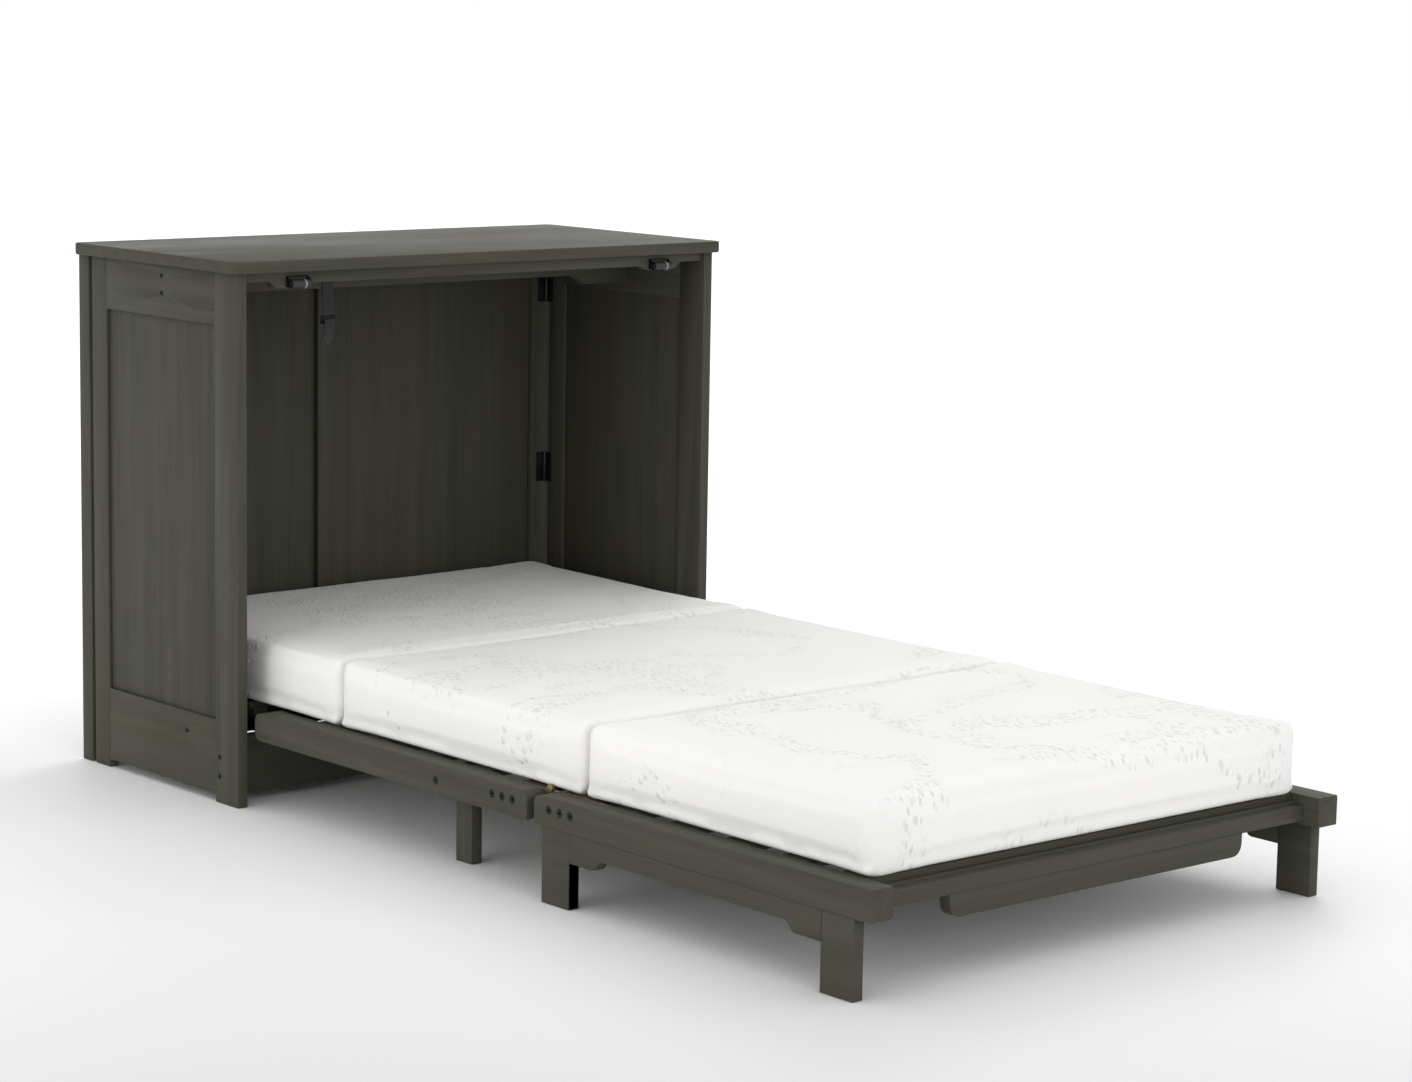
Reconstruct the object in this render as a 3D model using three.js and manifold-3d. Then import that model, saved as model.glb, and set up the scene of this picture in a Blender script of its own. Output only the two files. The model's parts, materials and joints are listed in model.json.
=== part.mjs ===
// A twin cabinet bed: a low cabinet whose two-section slatted frame folds out of the open front and
// carries a mattress in three sections.
// Millimetres, +Z up. X runs across the cabinet, the bed reaches out along -Y and the floor is Z = 0.
// The model is drawn with the front edge of the side panels at Y = 0, and the last lines move it so
// that the origin is under the middle of its box.
import * as THREE from "three";
import { mergeVertices } from "three/addons/utils/BufferGeometryUtils.js";
import Module from "manifold-3d";

const wasm = await Module();
wasm.setup();

// ---- clearances ----
const FIT = 0.3; // between pieces that touch or are glued
const RUN = 0.5; // round a pin that turns

// ---- cabinet ----
const CABINET_WIDTH = 1106; // over the outer faces of the two side panels
const CABINET_HEIGHT = 985; // to the top of the slab
const SIDE_DEPTH = 486; // front edge of a side panel to its rear edge
const SIDE_THICK = 20;
const SLAB_THICK = 22;
const SLAB_SIDE_OVERHANG = 12;
const SLAB_FRONT_OVERHANG = 14;
const SLAB_CORNER = 12; // plan radius of the slab's corners
const SLAB_EDGE = 2.5; // eased arris on the slab
const FRONT_STILE = 72;
const REAR_STILE = 51;
const SIDE_TOP_RAIL = 95;
const SIDE_BOTTOM_RAIL_TOP = 152; // height of the panel opening's lower edge
const SIDE_FOOT = 15; // the bottom rail stands this far off the floor, and the stiles reach it
const PANEL_THICK = 8;
const PANEL_GROOVE = 7; // how far a panel enters its frame
const BACK_GAP = 11; // side panels to back frame, filled by the butt hinges
const BACK_THICK = 35;
const BACK_STILE = 55;
const BACK_MUNTIN = 71;
const BACK_TOP_RAIL = 70;
const BACK_BOTTOM_RAIL_TOP = 150;

// ---- butt hinges between the side panels and the back ----
const HINGE_KNUCKLE = 4.5; // radius of the barrel
const HINGE_HEIGHT = 60;
const HINGE_LEAF = 17; // how far a leaf reaches from the barrel's middle
const HINGE_PLATE = 2;
const UPPER_HINGE_DROP = 104; // slab to the middle of an upper hinge
const LOWER_HINGE_HEIGHT = 487;

// ---- boards across the cabinet ----
const APRON_Y = 8; // front face of the scalloped board behind the slab's front edge
const APRON_THICK = 20;
const APRON_DROP = 22; // below the slab along the middle
const APRON_END_DROP = 17;
const APRON_TONGUE_DROP = 30; // the two tongues that carry the rollers
const TONGUE_CENTRE = 124; // from the cabinet's outer face to the middle of a tongue
const TONGUE_WIDTH = 58;
const SCALLOP = 25; // length of each curved shoulder
const ROLLER_CENTRE = 132; // from the cabinet's outer face to the middle of a roller
const ROLLER_RADIUS = 8.5;
const ROLLER_LENGTH = 40;
const ROLLER_PIN = 3;
const ROLLER_EAR = 2.5; // thickness of the bracket that carries a roller
const CROSS_RAIL_Y = 235;
const CROSS_RAIL_THICK = 22;
const CROSS_RAIL_DROP = 57; // below the slab along the middle
const CROSS_RAIL_END_DROP = 75;
const CROSS_RAIL_END = 109; // length of each deep end
const CROSS_RAIL_CURVE = 52; // length of the curve up from each deep end
const CROSS_BOLT_DROPS = [20, 52]; // slab to the bolts into the cross rail's ends
const SIDE_BOLT_RADIUS = 4.5; // hole in a side panel for a bolt into a board across the cabinet
const TOE_Y = 50;
const TOE_THICK = 20;
const TOE_BOTTOM = 13;
const TOE_BELOW_RAILS = 7; // toe board's top to the underside of the rails
const TOE_BOLT_DROPS = [35, 71]; // toe board's top to the bolts into its ends
const CROSS_BEARER_Y = 158; // board across the cabinet that carries the head deck's two bearers
const CROSS_BEARER_THICK = 20;
const CROSS_BEARER_HEIGHT = 32;
const CROSS_BEARER_NOTCH = 12; // how far it enters the two head bearers from below
const HEAD_BEARER_THICK = 30;
const HEAD_BEARER_INSET = 28; // rail's inner face to the middle of a head bearer
const HEAD_BEARER_LIP = 30; // height of a head bearer's low front end
const HEAD_DECK_FRONT = 72;
const HEAD_DECK_BACK_GAP = 16; // head deck to the side panels' rear edges
const HEAD_DECK_SIDE_GAP = 5; // head deck's ends to the line of the rails' inner faces

// ---- bed frame ----
const BED_SIDE_GAP = 4; // a rail's outer face to the cabinet side that it folds up beside
const RAIL_THICK = 46;
const RAIL_BOTTOM = 127;
const RAIL_HEIGHT = 50;
const RAIL_ROUND = 16; // radius of the rail ends that swing
const FRAME_START = -18; // head end of the middle section
const FOLD_GAP = 20; // between the rail ends at the fold
const FOLD_RISE = 1; // the fold axis lies this far above the rails
const STAND_GAP = 3; // stood-up fold axis to the apron's tongues, and folded foot end to the toe board
const PIVOT_Y = -42; // axis on which the whole frame stands up
const PIVOT_DROP = 25; // rail tops to the pivot
const PIVOT_PIN = 6;
const PIVOT_PIN_REACH = 29; // how far the pin enters the rail
const PIVOT_PLATE = 4; // thickness of the steel that carries the pin
const PIVOT_PLATE_HEIGHT = 28;
const PIVOT_FOOT_LENGTH = 60; // stretch of the plate on the head bearer
const LEDGER_THICK = 14;
const LEDGER_HEIGHT = 24;
const LEDGER_LEAF_GAP = 5; // ledger to the fold hinge's leaf
const LEDGER_START = -68; // head end of the middle section's ledger
const SLAT_THICK = 12;
const SLAT_WIDTH = 60;
const SLAT_SINK = 1.5; // slat tops below the rail tops
const BATTEN_WIDTH = 34;
const BATTEN_THICK = 10;
const BATTEN_INSET = 253; // rails' inner faces to the middle of an outer batten
const SLAT_ROUND = 3;
const MIDDLE_FIRST_SLAT = -174; // middle of the first slat of the middle section
const FOLD_SLAT = 54; // fold axis to the middle of the nearest slat on either side
const END_SLAT_INSET = 91; // foot end of the rails to the middle of the last slat
const BATTEN_OVERRUN = 30; // how far the battens run past the slat nearest the fold
const CROSS_MEMBER_THICK = 20;
const CROSS_MEMBER_INSET = 18; // rails' inner faces to the ends of the cross members
const HEAD_BAR_BACK = 46; // pivot to the head bar
const FOLD_BAR_BACK = 30; // fold axis to the face of each fold bar

// ---- fold hinges ----
const LEAF_THICK = 3;
const LEAF_LENGTH = 140; // from the fold axis to a leaf's far end
const LEAF_DEPTH = 34;
const LEAF_LUG = 7; // radius round the pin
const LEAF_PIN = 3;
const REBATE = 7.5; // depth of the rebate in the rail's inner face
const HINGE_BOLTS = [48, 76, 103]; // distances from the fold axis
const BOLT_DROP = 21; // rail tops to the bolts
const BOLT_HOLE = 4.2;
const BOLT_SINK_RADIUS = 7.5;
const BOLT_SINK = 3;

// ---- legs ----
const LEG_WIDTH = 71;
const LEG_THICK = 21;
const LEG_INSET = 34; // foot end of the rails to the foot leg
const LEG_FOLD_INSET = 21; // fold gap to the first leg
const BRACKET_LENGTH = 58;
const BRACKET_CURVE = 26;
const BRACKET_DROP = 49; // rails' undersides to the brackets' lower edges
const SIDE_APRON_DROP = 32; // and to the side board's lower edge
const END_RAIL_INSET = 33; // foot end of the rails to the end rail's outer face
const END_RAIL_THICK = 22;
const END_LEDGE = 20; // ledge behind the end rail, under the last slat
const END_RAIL_DROP = 18; // rail tops to the end rail's top
const END_RAIL_HEIGHT = 25;
const HANDLE_HEIGHT = 37;
const HANDLE_INSET = 151; // rails' inner faces to the grip board's ends
const HANDLE_ROUND = 24;
const PROP_WIDTH = 44; // folding leg of the middle section
const PROP_THICK = 21;
const PROP_FROM_FOLD = 258;
const PROP_DROP = 26; // rail tops to the leg's pivot
const PROP_FOLD_ROOM = 40; // to the slat on the side that the leg folds to
const PROP_GAP = 4; // to the slat on the other side
const PROP_PIN = 4;
const PROP_TOP_GAP = 2; // slat tops to the rounded top of the leg
const PROP_SIDE_GAP = 0.5; // ledger to the leg
const BUMPER_BELOW = 104; // pivot to the leg's rubber stop
const BUMPER_RADIUS = 8;
const BUMPER_STAND = 5;

// ---- mattress ----
const MATTRESS_SIDE_GAP = 4; // mattress to the rails' inner faces
const MATTRESS_THICK = 123;
const MATTRESS_HEAD_GAP = 14; // mattress to the side panels' rear edges
const MATTRESS_FOOT_GAP = 43; // mattress to the foot end of the rails
const MATTRESS_SEAM = 3;
const MATTRESS_ROUND = 12;

// ---- strap ----
const STRAP_X = -196;
const STRAP_WIDTH = 25;
const STRAP_THICK = 2.4;
const STRAP_DROP = 110; // slab to the buckle
const STRAP_HEM = 30; // how far the strap is fixed up the face of the cross rail
const BUCKLE_HEIGHT = 38;
const BUCKLE_BAR = 14; // height of its frame, below which the lever hangs
const BUCKLE_SIDE = 4; // frame beyond the strap's edge

// ---- derived places ----
const HALF = CABINET_WIDTH / 2;
const INNER = HALF - SIDE_THICK;
const SLAB_UNDER = CABINET_HEIGHT - SLAB_THICK;
const BACK_Y = SIDE_DEPTH + BACK_GAP;
const BACK_REAR = BACK_Y + BACK_THICK;
const SLAB_FRONT = -SLAB_FRONT_OVERHANG;
const RAIL_TOP = RAIL_BOTTOM + RAIL_HEIGHT;
const RAIL_OUT = INNER - BED_SIDE_GAP;
const RAIL_IN = RAIL_OUT - RAIL_THICK;
const TOE_TOP = RAIL_BOTTOM - TOE_BELOW_RAILS;
const PIVOT_Z = RAIL_TOP - PIVOT_DROP;
const BOLT_Z = RAIL_TOP - BOLT_DROP;
// Stood up, the fold axis ends just under the apron's tongues, and the folded foot end just over the
// toe board: the cabinet's height sets both sections' lengths.
const STANDING_FOLD_Z = SLAB_UNDER - APRON_TONGUE_DROP - STAND_GAP;
const FOLD_Y = PIVOT_Y - (STANDING_FOLD_Z - PIVOT_Z);
const FRAME_END = FOLD_Y - (STANDING_FOLD_Z - TOE_TOP - STAND_GAP);
const FOLD_Z = RAIL_TOP + FOLD_RISE;
const END_RAIL_Y = FRAME_END + END_RAIL_INSET;
const END_RAIL_TOP = RAIL_TOP - END_RAIL_DROP;
const END_RAIL_BOTTOM = END_RAIL_TOP - END_RAIL_HEIGHT;
const HANDLE_BOTTOM = END_RAIL_BOTTOM - HANDLE_HEIGHT;
const PROP_Y = FOLD_Y + PROP_FROM_FOLD;
const PROP_Z = RAIL_TOP - PROP_DROP;
const HEAD_BEARER_X = RAIL_IN - HEAD_BEARER_INSET;
const CROSS_BEARER_TOP = TOE_TOP + CROSS_BEARER_NOTCH;
const CROSS_BEARER_BOTTOM = CROSS_BEARER_TOP - CROSS_BEARER_HEIGHT;
const STRAP_BOTTOM = SLAB_UNDER - STRAP_DROP;
const MIDDLE_END = FOLD_Y + FOLD_GAP / 2;
const FOOT_START = FOLD_Y - FOLD_GAP / 2;
const SLAT_TOP = RAIL_TOP - SLAT_SINK;
const SLAT_UNDER = SLAT_TOP - SLAT_THICK;
const LEDGER_TOP = SLAT_UNDER - FIT;
const LEDGER_IN = RAIL_IN - LEDGER_THICK;
const ROLLER_Z = SLAB_UNDER - APRON_DROP;

// ---- shape helpers ----
function solid(geometry) {
  const bare = geometry.index ? geometry.toNonIndexed() : geometry.clone();
  bare.deleteAttribute("normal");
  bare.deleteAttribute("uv");
  const merged = mergeVertices(bare, 1e-4);
  return new wasm.Manifold(
    new wasm.Mesh({
      numProp: 3,
      vertProperties: new Float32Array(merged.attributes.position.array),
      triVerts: new Uint32Array(merged.index.array),
    }),
  );
}

function geometryOf(manifold) {
  const mesh = manifold.getMesh();
  const geometry = new THREE.BufferGeometry();
  geometry.setAttribute("position", new THREE.BufferAttribute(mesh.vertProperties, 3));
  geometry.setIndex(new THREE.BufferAttribute(mesh.triVerts, 1));
  const flat = geometry.toNonIndexed();
  flat.computeVertexNormals();
  return flat;
}

function box(x0, x1, y0, y1, z0, z1) {
  const geometry = new THREE.BoxGeometry(x1 - x0, y1 - y0, z1 - z0);
  geometry.translate((x0 + x1) / 2, (y0 + y1) / 2, (z0 + z1) / 2);
  return solid(geometry);
}

const AXES = {
  x: [new THREE.Vector3(0, 1, 0), new THREE.Vector3(0, 0, 1), new THREE.Vector3(1, 0, 0)],
  y: [new THREE.Vector3(0, 0, 1), new THREE.Vector3(1, 0, 0), new THREE.Vector3(0, 1, 0)],
  z: [new THREE.Vector3(1, 0, 0), new THREE.Vector3(0, 1, 0), new THREE.Vector3(0, 0, 1)],
};

// An outline swept from `from` to `to` along an axis. The outline is drawn in (y, z) for x,
// in (z, x) for y and in (x, y) for z.
function prism(shape, axis, from, to, curveSegments = 8) {
  const geometry = new THREE.ExtrudeGeometry(shape, {
    depth: to - from,
    bevelEnabled: false,
    curveSegments,
  });
  geometry.translate(0, 0, from);
  geometry.applyMatrix4(new THREE.Matrix4().makeBasis(...AXES[axis]));
  return solid(geometry);
}

function outline(points) {
  return new THREE.Shape(points.map(([u, v]) => new THREE.Vector2(u, v)));
}

// A rectangle with its own radius at each corner: low-low, high-low, high-high, low-high.
function rounded(u0, u1, v0, v1, [a, b, c, d]) {
  const shape = new THREE.Shape();
  shape.moveTo(u0 + a, v0);
  shape.lineTo(u1 - b, v0);
  if (b) shape.absarc(u1 - b, v0 + b, b, -Math.PI / 2, 0);
  shape.lineTo(u1, v1 - c);
  if (c) shape.absarc(u1 - c, v1 - c, c, 0, Math.PI / 2);
  shape.lineTo(u0 + d, v1);
  if (d) shape.absarc(u0 + d, v1 - d, d, Math.PI / 2, Math.PI);
  shape.lineTo(u0, v0 + a);
  if (a) shape.absarc(u0 + a, v0 + a, a, Math.PI, Math.PI * 1.5);
  return shape;
}

// A round bar along an axis through (u, v), in the axis's own outline plane.
function rod(axis, u, v, radius, from, to, segments = 24) {
  const circle = new THREE.Shape();
  circle.absarc(u, v, radius, 0, Math.PI * 2);
  return prism(circle, axis, from, to, segments);
}

const mirrorX = (manifold) => manifold.mirror([1, 0, 0]);

// ---- finishes ----
const FINISHES = {
  stain: { color: 0x55564d, roughness: 0.5, metalness: 0 },
  steel: { color: 0x26282a, roughness: 0.4, metalness: 0.9 },
  brass: { color: 0x9a8a62, roughness: 0.35, metalness: 0.9 },
  rubber: { color: 0x17181a, roughness: 0.6, metalness: 0 },
  webbing: { color: 0x1b1c1f, roughness: 0.85, metalness: 0 },
  ticking: { color: 0xeceae6, roughness: 0.9, metalness: 0 },
};

const model = new THREE.Group();

function piece(name, manifold, finish = "stain") {
  const mesh = new THREE.Mesh(
    geometryOf(manifold),
    new THREE.MeshStandardMaterial(FINISHES[finish]),
  );
  mesh.name = name;
  model.add(mesh);
}

// A left piece and its mirror image.
function pair(name, manifold, finish) {
  piece(`left_${name}`, manifold, finish);
  piece(`right_${name}`, mirrorX(manifold), finish);
}

// ---- cabinet sides ----
const OPENING_TOP = SLAB_UNDER - SIDE_TOP_RAIL;
const OPENING_FRONT = FRONT_STILE;
const OPENING_REAR = SIDE_DEPTH - REAR_STILE;
const PANEL_X = -HALF + (SIDE_THICK - PANEL_THICK) / 2;

function groove(y0, y1, z0, z1) {
  return box(PANEL_X - FIT, PANEL_X + PANEL_THICK + FIT, y0, y1, z0, z1);
}

function sidePanels() {
  const x0 = -HALF;
  const x1 = -INNER;
  const z1 = SLAB_UNDER - FIT;
  const slot = groove(
    OPENING_FRONT - PANEL_GROOVE - FIT,
    OPENING_REAR + PANEL_GROOVE + FIT,
    SIDE_BOTTOM_RAIL_TOP - PANEL_GROOVE - FIT,
    OPENING_TOP + PANEL_GROOVE + FIT,
  );
  const boltAt = (y, z) => rod("x", y, z, SIDE_BOLT_RADIUS, x0 - 1, x1 + 1, 8);
  const toeBolts = TOE_BOLT_DROPS.map((drop) => boltAt(TOE_Y + TOE_THICK / 2, TOE_TOP - drop));
  const crossY = CROSS_RAIL_Y + CROSS_RAIL_THICK / 2;
  const crossBolts = CROSS_BOLT_DROPS.map((drop) => boltAt(crossY, SLAB_UNDER - drop));
  let stile = box(x0, x1, 0, FRONT_STILE, 0, z1).subtract(slot);
  for (const bolt of toeBolts) stile = stile.subtract(bolt);
  pair("front_stile", stile);
  pair("rear_stile", box(x0, x1, SIDE_DEPTH - REAR_STILE, SIDE_DEPTH, 0, z1).subtract(slot));
  const railFront = FRONT_STILE + FIT;
  const railRear = SIDE_DEPTH - REAR_STILE - FIT;
  let top = box(x0, x1, railFront, railRear, OPENING_TOP, z1).subtract(slot);
  for (const bolt of crossBolts) top = top.subtract(bolt);
  pair("top_rail", top);
  pair(
    "bottom_rail",
    box(x0, x1, railFront, railRear, SIDE_FOOT, SIDE_BOTTOM_RAIL_TOP)
      .subtract(slot)
      .subtract(
        boltAt(CROSS_BEARER_Y + CROSS_BEARER_THICK / 2, (CROSS_BEARER_BOTTOM + CROSS_BEARER_TOP) / 2),
      ),
  );
  pair(
    "side_panel",
    box(
      PANEL_X,
      PANEL_X + PANEL_THICK,
      OPENING_FRONT - PANEL_GROOVE,
      OPENING_REAR + PANEL_GROOVE,
      SIDE_BOTTOM_RAIL_TOP - PANEL_GROOVE,
      OPENING_TOP + PANEL_GROOVE,
    ),
  );
}

// ---- cabinet back ----
function backPanel() {
  const z1 = SLAB_UNDER - FIT;
  const openTop = z1 - BACK_TOP_RAIL;
  const inner = HALF - BACK_STILE;
  const muntin = BACK_MUNTIN / 2;
  const panelY = BACK_Y + (BACK_THICK - PANEL_THICK) / 2;
  const slot = box(
    -inner - PANEL_GROOVE - FIT,
    inner + PANEL_GROOVE + FIT,
    panelY - FIT,
    panelY + PANEL_THICK + FIT,
    BACK_BOTTOM_RAIL_TOP - PANEL_GROOVE - FIT,
    openTop + PANEL_GROOVE + FIT,
  );
  const muntinSlots = [-1, 1].map((s) =>
    box(
      s > 0 ? muntin - PANEL_GROOVE - FIT : -muntin - 1,
      s > 0 ? muntin + 1 : -muntin + PANEL_GROOVE + FIT,
      panelY - FIT,
      panelY + PANEL_THICK + FIT,
      BACK_BOTTOM_RAIL_TOP - 1,
      openTop + 1,
    ),
  );
  pair("back_stile", box(-HALF, -inner, BACK_Y, BACK_REAR, 0, z1).subtract(slot));
  const railEnd = inner - FIT;
  piece("back_top_rail", box(-railEnd, railEnd, BACK_Y, BACK_REAR, openTop, z1).subtract(slot));
  piece(
    "back_bottom_rail",
    box(-railEnd, railEnd, BACK_Y, BACK_REAR, SIDE_FOOT, BACK_BOTTOM_RAIL_TOP).subtract(slot),
  );
  let post = box(-muntin, muntin, BACK_Y, BACK_REAR, BACK_BOTTOM_RAIL_TOP + FIT, openTop - FIT);
  for (const cut of muntinSlots) post = post.subtract(cut);
  piece("back_muntin", post);
  pair(
    "back_panel",
    box(
      -inner - PANEL_GROOVE,
      -muntin + PANEL_GROOVE,
      panelY,
      panelY + PANEL_THICK,
      BACK_BOTTOM_RAIL_TOP - PANEL_GROOVE,
      openTop + PANEL_GROOVE,
    ),
  );
}

// ---- butt hinges between each side panel and the back ----
function buttHinges() {
  const knuckle = HINGE_KNUCKLE;
  const height = HINGE_HEIGHT;
  const leaf = HINGE_PLATE;
  const x = -INNER;
  const y = SIDE_DEPTH + BACK_GAP / 2;
  const levels = { upper: SLAB_UNDER - UPPER_HINGE_DROP, lower: LOWER_HINGE_HEIGHT };
  for (const [level, z] of Object.entries(levels)) {
    const barrel = rod("z", x + knuckle + FIT, y, knuckle, z - height / 2, z + height / 2, 12);
    const sideLeaf = box(x + FIT, x + FIT + leaf, y - HINGE_LEAF, y, z - height / 2, z + height / 2);
    const backLeaf = box(
      x + knuckle,
      x + knuckle + HINGE_LEAF,
      BACK_Y - FIT - leaf,
      BACK_Y - FIT,
      z - height / 2,
      z + height / 2,
    );
    pair(`${level}_butt_hinge`, barrel.add(sideLeaf).add(backLeaf), "steel");
  }
}

// ---- slab and boards under it ----
function topSlab() {
  const x = HALF + SLAB_SIDE_OVERHANG;
  const r = SLAB_CORNER;
  const e = SLAB_EDGE;
  const small = rounded(-x + e, x - e, SLAB_FRONT + e, BACK_REAR - e, [r - e, r - e, r - e, r - e]);
  const geometry = new THREE.ExtrudeGeometry(small, {
    depth: SLAB_THICK - 2 * e,
    bevelEnabled: true,
    bevelThickness: e,
    bevelSize: e,
    bevelSegments: 2,
    curveSegments: 4,
  });
  geometry.translate(0, 0, SLAB_UNDER + e);
  piece("top_slab", solid(geometry));
}

// The apron's lower edge from the left end to the middle, as (z, x) points for a sweep along Y.
function scallop(shape, x0, z0, x1, z1) {
  const middle = (x0 + x1) / 2;
  shape.bezierCurveTo(z0, middle, z1, middle, z1, x1);
}

function frontApron() {
  const end = INNER - FIT;
  const top = SLAB_UNDER - FIT;
  const shallow = SLAB_UNDER - APRON_END_DROP;
  const tongue = SLAB_UNDER - APRON_TONGUE_DROP;
  const straight = SLAB_UNDER - APRON_DROP;
  const tongueX = HALF - TONGUE_CENTRE;
  const half = TONGUE_WIDTH / 2;
  const shape = new THREE.Shape();
  shape.moveTo(top, -end);
  shape.lineTo(shallow, -end);
  shape.lineTo(shallow, -tongueX - half - SCALLOP);
  scallop(shape, -tongueX - half - SCALLOP, shallow, -tongueX - half, tongue);
  shape.lineTo(tongue, -tongueX + half);
  scallop(shape, -tongueX + half, tongue, -tongueX + half + SCALLOP, straight);
  shape.lineTo(straight, tongueX - half - SCALLOP);
  scallop(shape, tongueX - half - SCALLOP, straight, tongueX - half, tongue);
  shape.lineTo(tongue, tongueX + half);
  scallop(shape, tongueX + half, tongue, tongueX + half + SCALLOP, shallow);
  shape.lineTo(shallow, end);
  shape.lineTo(top, end);
  piece("front_apron", prism(shape, "y", APRON_Y, APRON_Y + APRON_THICK, 6));
}

// ---- guide rollers on the face of the apron's tongues, each in its own steel bracket ----
function guideRollers() {
  const x = -HALF + ROLLER_CENTRE;
  const y = APRON_Y - FIT - ROLLER_EAR - ROLLER_RADIUS - 2 * RUN;
  const half = ROLLER_LENGTH / 2;
  const roller = rod("x", y, ROLLER_Z, ROLLER_RADIUS, x - half, x + half, 20)
    .subtract(rod("x", y, ROLLER_Z, ROLLER_PIN + RUN, x - half - 1, x + half + 1, 12));
  pair("guide_roller", roller, "rubber");
  const outer = half + RUN + ROLLER_EAR;
  const back = APRON_Y - FIT;
  const ear = outline([
    [y - 5, ROLLER_Z - 4],
    [y, ROLLER_Z - 6],
    [back, ROLLER_Z - 6],
    [back, SLAB_UNDER - 8],
    [y - 5, ROLLER_Z + 5],
  ]);
  const bracket = prism(ear, "x", x - outer, x + outer)
    .subtract(box(x - half - RUN, x + half + RUN, y - 10, back - ROLLER_EAR, ROLLER_Z - 10, SLAB_UNDER))
    .add(rod("x", y, ROLLER_Z, ROLLER_PIN, x - outer - 1, x + outer + 1, 12));
  pair("roller_bracket", bracket, "steel");
}

function crossRail() {
  const end = INNER - FIT;
  const top = SLAB_UNDER - FIT;
  const deep = SLAB_UNDER - CROSS_RAIL_END_DROP;
  const straight = SLAB_UNDER - CROSS_RAIL_DROP;
  const shoulder = end - CROSS_RAIL_END;
  const risen = shoulder - CROSS_RAIL_CURVE;
  const bend = shoulder - CROSS_RAIL_CURVE * 0.35; // where the curve turns from steep to level
  const shape = new THREE.Shape();
  shape.moveTo(top, -end);
  shape.lineTo(deep, -end);
  shape.lineTo(deep, -shoulder);
  shape.quadraticCurveTo(straight, -bend, straight, -risen);
  shape.lineTo(straight, risen);
  shape.quadraticCurveTo(straight, bend, deep, shoulder);
  shape.lineTo(deep, end);
  shape.lineTo(top, end);
  piece("cross_rail", prism(shape, "y", CROSS_RAIL_Y, CROSS_RAIL_Y + CROSS_RAIL_THICK, 8));
}

function toeBoard() {
  const end = INNER - FIT;
  piece("toe_board", box(-end, end, TOE_Y, TOE_Y + TOE_THICK, TOE_BOTTOM, TOE_TOP));
}

// ---- slat decks: slats across three battens ----
// Middles of `count` slats spread evenly from one place to another.
function spread(first, last, count) {
  return Array.from({ length: count }, (_, i) => first + ((last - first) * i) / (count - 1));
}

function slatDeck(halfLength, slatYs, rearY, frontY) {
  const battenX = RAIL_IN - BATTEN_INSET;
  const battens = [-1, 0, 1].map((s) =>
    box(
      s * battenX - BATTEN_WIDTH / 2,
      s * battenX + BATTEN_WIDTH / 2,
      frontY,
      rearY,
      SLAT_UNDER - BATTEN_THICK,
      SLAT_UNDER + 1,
    ),
  );
  let deck = battens[0].add(battens[1]).add(battens[2]);
  for (const y of slatYs) {
    const y0 = y - SLAT_WIDTH / 2;
    const section = rounded(y0, y0 + SLAT_WIDTH, SLAT_UNDER, SLAT_TOP, [0, 0, SLAT_ROUND, SLAT_ROUND]);
    deck = deck.add(prism(section, "x", -halfLength, halfLength, 3));
  }
  return deck;
}

// ---- head deck, fixed in the cabinet ----
function headDeck() {
  const rear = SIDE_DEPTH - HEAD_DECK_BACK_GAP;
  const slats = spread(HEAD_DECK_FRONT + SLAT_WIDTH / 2, rear - SLAT_WIDTH / 2, 4);
  piece("head_deck", slatDeck(RAIL_IN - HEAD_DECK_SIDE_GAP, slats, rear, HEAD_DECK_FRONT));
  const low = TOE_TOP + FIT;
  const lip = TOE_TOP + HEAD_BEARER_LIP; // low, under the folded-up bed's foot
  const notchFront = CROSS_BEARER_Y - FIT;
  const notchRear = CROSS_BEARER_Y + CROSS_BEARER_THICK + FIT;
  const notchTop = CROSS_BEARER_TOP + FIT;
  const bearer = outline([
    [TOE_Y, low],
    [notchFront, low],
    [notchFront, notchTop],
    [notchRear, notchTop],
    [notchRear, low],
    [BACK_Y - FIT, low],
    [BACK_Y - FIT, LEDGER_TOP],
    [HEAD_DECK_FRONT, LEDGER_TOP],
    [HEAD_DECK_FRONT, lip],
    [TOE_Y, lip],
  ]);
  const half = HEAD_BEARER_THICK / 2;
  pair("head_bearer", prism(bearer, "x", -HEAD_BEARER_X - half, -HEAD_BEARER_X + half));
  piece(
    "cross_bearer",
    box(
      -INNER + FIT,
      INNER - FIT,
      CROSS_BEARER_Y,
      CROSS_BEARER_Y + CROSS_BEARER_THICK,
      CROSS_BEARER_BOTTOM,
      CROSS_BEARER_TOP,
    ),
  );
}

// ---- rails of the two folding sections ----
// The ledge that the slats rest on, worked from the same timber as the rail.
function ledger(y0, y1) {
  return box(-RAIL_IN - 1, -LEDGER_IN, y0, y1, LEDGER_TOP - LEDGER_HEIGHT, LEDGER_TOP);
}

function boltHoles(rail, ys, z) {
  let drilled = rail;
  for (const y of ys) {
    drilled = drilled
      .subtract(rod("x", y, z, BOLT_HOLE, -RAIL_OUT - 1, -LEDGER_IN + 1, 8))
      .subtract(rod("x", y, z, BOLT_SINK_RADIUS, -RAIL_OUT - 1, -RAIL_OUT + BOLT_SINK, 12));
  }
  return drilled;
}

function rebate(y0, y1) {
  return box(-RAIL_IN - REBATE, -RAIL_IN + 1, y0, y1, RAIL_TOP - LEAF_DEPTH - 2, RAIL_TOP + 1);
}

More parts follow.
